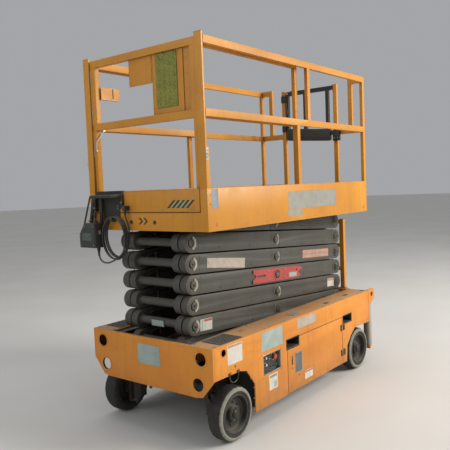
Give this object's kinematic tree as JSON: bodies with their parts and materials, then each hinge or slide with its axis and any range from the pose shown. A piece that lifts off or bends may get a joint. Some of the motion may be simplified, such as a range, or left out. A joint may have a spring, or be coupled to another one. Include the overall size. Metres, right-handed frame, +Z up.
{
  "type": "scissor lift",
  "caption": "Self-propelled electric scissor lift with stacked arms, a railed platform with sliding extension, steered front wheels and swing-out side trays.",
  "frame": {"origin": "on the floor, in the middle of the wheelbase and of the width", "axes": "+X towards the steering end, +Y to the machine's left, +Z up"},
  "size_m": [2.562, 1.204, 2.738],
  "materials": {
    "orange_paint": "satin",
    "grey_paint": "satin",
    "red_paint": "satin",
    "dark_paint": "semi-matte",
    "zinc_steel": "zinc plated",
    "chrome_rod": "polished",
    "tyre": "non-marking grey rubber",
    "rim": "satin",
    "nylon": "matt",
    "battery_case": "matt",
    "control_plastic": "matt",
    "cable_jacket": "semi-gloss",
    "deck_steel": "worn anti-slip"
  },
  "bodies": {
    "chassis": {"main_frame": "dark_paint", "fork_pockets": "dark_paint", "chassis_deck": "orange_paint", "front_plate": "orange_paint", "left_side_panel": "orange_paint", "right_side_panel": "orange_paint", "ground_controls": "control_plastic", "rear_panel": "orange_paint", "ladder": "orange_paint", "front_axle": "dark_paint", "rear_axle": "dark_paint", "lower_tracks": "dark_paint"},
    "left_tray": {"left_tray": "orange_paint", "batteries": "battery_case"},
    "right_tray": {"right_tray": "orange_paint", "hydraulic_unit": "dark_paint"},
    "left_knuckle": {"left_knuckle": "dark_paint"},
    "right_knuckle": {"right_knuckle": "dark_paint"},
    "tie_rod": {"tie_rod": "dark_paint"},
    "front_left_wheel": {"front_left_tyre": "tyre", "front_left_rim": "rim"},
    "front_right_wheel": {"front_right_tyre": "tyre", "front_right_rim": "rim"},
    "rear_left_wheel": {"rear_left_tyre": "tyre", "rear_left_rim": "rim"},
    "rear_right_wheel": {"rear_right_tyre": "tyre", "rear_right_rim": "rim"},
    "outer_1": {"outer_arms_1": "grey_paint"},
    "inner_1": {"inner_arms_1": "grey_paint", "lower_rollers": "nylon"},
    "outer_2": {"outer_arms_2": "grey_paint"},
    "inner_2": {"inner_arms_2": "grey_paint"},
    "outer_3": {"outer_arms_3": "grey_paint", "safety_prop": "red_paint"},
    "inner_3": {"inner_arms_3": "grey_paint"},
    "outer_4": {"outer_arms_4": "grey_paint"},
    "inner_4": {"inner_arms_4": "grey_paint"},
    "outer_5": {"outer_arms_5": "grey_paint"},
    "inner_5": {"inner_arms_5": "grey_paint"},
    "outer_6": {"outer_arms_6": "grey_paint", "upper_rollers": "nylon"},
    "inner_6": {"inner_arms_6": "grey_paint"},
    "cylinder_1_barrel": {"lift_cylinder_1_barrel": "dark_paint"},
    "cylinder_1_rod": {"lift_cylinder_1_rod": "chrome_rod"},
    "cylinder_2_barrel": {"lift_cylinder_2_barrel": "dark_paint"},
    "cylinder_2_rod": {"lift_cylinder_2_rod": "chrome_rod"},
    "platform": {"platform_frame": "orange_paint", "platform_deck": "deck_steel", "upper_tracks": "dark_paint", "left_guardrail": "orange_paint", "right_guardrail": "orange_paint", "rear_guardrails": "orange_paint"},
    "rear_gate": {"rear_gate": "orange_paint"},
    "extension": {"extension_deck": "orange_paint", "extension_guardrail": "orange_paint", "front_panels": "orange_paint", "control_bracket": "orange_paint", "control_box": "control_plastic", "control_cable": "cable_jacket"}
  },
  "joints": [
    {"name": "lift", "type": "hinge", "parent": "chassis", "child": "outer_1", "pos_m": [-1.044, 0, 0.6425], "axis": [0, -1, 0], "range_deg": [0, 60]},
    {"name": "arms_1_centre", "type": "hinge", "parent": "outer_1", "child": "inner_1", "pos_m": [-0.00304, 0, 0.71529], "axis": [0, -1, 0], "range_deg": [-120, 0]},
    {"name": "arms_2_front", "type": "hinge", "parent": "outer_1", "child": "inner_2", "pos_m": [1.03792, 0, 0.78808], "axis": [0, -1, 0], "range_deg": [-120, 0]},
    {"name": "arms_2_centre", "type": "hinge", "parent": "inner_2", "child": "outer_2", "pos_m": [-0.00304, 0, 0.86087], "axis": [0, -1, 0], "range_deg": [0, 120]},
    {"name": "arms_3_rear", "type": "hinge", "parent": "inner_2", "child": "outer_3", "pos_m": [-1.044, 0, 0.93366], "axis": [0, -1, 0], "range_deg": [0, 120]},
    {"name": "arms_3_centre", "type": "hinge", "parent": "outer_3", "child": "inner_3", "pos_m": [-0.00304, 0, 1.00645], "axis": [0, -1, 0], "range_deg": [-120, 0]},
    {"name": "arms_4_front", "type": "hinge", "parent": "outer_3", "child": "inner_4", "pos_m": [1.03792, 0, 1.07925], "axis": [0, -1, 0], "range_deg": [-120, 0]},
    {"name": "arms_4_centre", "type": "hinge", "parent": "inner_4", "child": "outer_4", "pos_m": [-0.00304, 0, 1.15204], "axis": [0, -1, 0], "range_deg": [0, 120]},
    {"name": "arms_5_rear", "type": "hinge", "parent": "inner_4", "child": "outer_5", "pos_m": [-1.044, 0, 1.22483], "axis": [0, -1, 0], "range_deg": [0, 120]},
    {"name": "arms_5_centre", "type": "hinge", "parent": "outer_5", "child": "inner_5", "pos_m": [-0.00304, 0, 1.29762], "axis": [0, -1, 0], "range_deg": [-120, 0]},
    {"name": "arms_6_front", "type": "hinge", "parent": "outer_5", "child": "inner_6", "pos_m": [1.03792, 0, 1.37041], "axis": [0, -1, 0], "range_deg": [-120, 0]},
    {"name": "arms_6_centre", "type": "hinge", "parent": "inner_6", "child": "outer_6", "pos_m": [-0.00304, 0, 1.4432], "axis": [0, -1, 0], "range_deg": [0, 120]},
    {"name": "platform_rear", "type": "hinge", "parent": "inner_6", "child": "platform", "pos_m": [-1.044, 0, 1.51599], "axis": [0, -1, 0], "range_deg": [0, 60]},
    {"name": "cylinder_1_foot", "type": "hinge", "parent": "inner_1", "child": "cylinder_1_barrel", "pos_m": [-0.41064, 0, 0.71372], "axis": [0, -1, 0], "range_deg": [0, 129.37]},
    {"name": "cylinder_1_stroke", "type": "slide", "parent": "cylinder_1_barrel", "child": "cylinder_1_rod", "axis": [0.9967, 0, 0.0812], "range_m": [0, 0.3934]},
    {"name": "cylinder_2_foot", "type": "hinge", "parent": "inner_4", "child": "cylinder_2_barrel", "pos_m": [-0.41064, 0, 1.15047], "axis": [0, -1, 0], "range_deg": [0, 129.37]},
    {"name": "cylinder_2_stroke", "type": "slide", "parent": "cylinder_2_barrel", "child": "cylinder_2_rod", "axis": [0.9967, 0, 0.0812], "range_m": [0, 0.3934]},
    {"name": "extension_slide", "type": "slide", "parent": "platform", "child": "extension", "axis": [1, 0, 0], "range_m": [0, 0.92]},
    {"name": "gate_swing", "type": "hinge", "parent": "platform", "child": "rear_gate", "pos_m": [-1.149, 0.267, 2.45], "axis": [0, 0, 1], "range_deg": [0, 90]},
    {"name": "left_steer", "type": "hinge", "parent": "chassis", "child": "left_knuckle", "pos_m": [0.94, 0.4, 0.19], "axis": [0, 0, 1], "range_deg": [-50, 50]},
    {"name": "right_steer", "type": "hinge", "parent": "chassis", "child": "right_knuckle", "pos_m": [0.94, -0.4, 0.19], "axis": [0, 0, 1], "range_deg": [-50, 50]},
    {"name": "tie_rod_end", "type": "hinge", "parent": "left_knuckle", "child": "tie_rod", "pos_m": [0.808, 0.4, 0.208], "axis": [0, 0, 1], "range_deg": [-50, 50]},
    {"name": "front_left_roll", "type": "hinge", "parent": "left_knuckle", "child": "front_left_wheel", "pos_m": [0.94, 0.527, 0.19], "axis": [0, 1, 0], "continuous": true},
    {"name": "front_right_roll", "type": "hinge", "parent": "right_knuckle", "child": "front_right_wheel", "pos_m": [0.94, -0.527, 0.19], "axis": [0, 1, 0], "continuous": true},
    {"name": "rear_left_roll", "type": "hinge", "parent": "chassis", "child": "rear_left_wheel", "pos_m": [-0.94, 0.527, 0.19], "axis": [0, 1, 0], "continuous": true},
    {"name": "rear_right_roll", "type": "hinge", "parent": "chassis", "child": "rear_right_wheel", "pos_m": [-0.94, -0.527, 0.19], "axis": [0, 1, 0], "continuous": true},
    {"name": "left_tray_swing", "type": "hinge", "parent": "chassis", "child": "left_tray", "pos_m": [-0.603, 0.595, 0.3], "axis": [0, 0, 1], "range_deg": [0, 90]},
    {"name": "right_tray_swing", "type": "hinge", "parent": "chassis", "child": "right_tray", "pos_m": [-0.603, -0.595, 0.3], "axis": [0, 0, -1], "range_deg": [0, 90]}
  ],
  "couplings": [
    {"joint": "arms_1_centre", "follows": "lift", "ratio": -2},
    {"joint": "arms_2_front", "follows": "lift", "ratio": -2},
    {"joint": "arms_2_centre", "follows": "lift", "ratio": 2},
    {"joint": "arms_3_rear", "follows": "lift", "ratio": 2},
    {"joint": "arms_3_centre", "follows": "lift", "ratio": -2},
    {"joint": "arms_4_front", "follows": "lift", "ratio": -2},
    {"joint": "arms_4_centre", "follows": "lift", "ratio": 2},
    {"joint": "arms_5_rear", "follows": "lift", "ratio": 2},
    {"joint": "arms_5_centre", "follows": "lift", "ratio": -2},
    {"joint": "arms_6_front", "follows": "lift", "ratio": -2},
    {"joint": "arms_6_centre", "follows": "lift", "ratio": 2},
    {"joint": "platform_rear", "follows": "lift", "ratio": 1},
    {"joint": "cylinder_1_foot", "follows": "lift", "ratio": 2.156},
    {"joint": "cylinder_1_stroke", "follows": "lift", "m_per_rad": 0.37522},
    {"joint": "cylinder_2_foot", "follows": "lift", "ratio": 2.156},
    {"joint": "cylinder_2_stroke", "follows": "lift", "m_per_rad": 0.37522},
    {"joint": "right_steer", "follows": "left_steer", "ratio": 1},
    {"joint": "tie_rod_end", "follows": "left_steer", "ratio": -1}
  ]
}
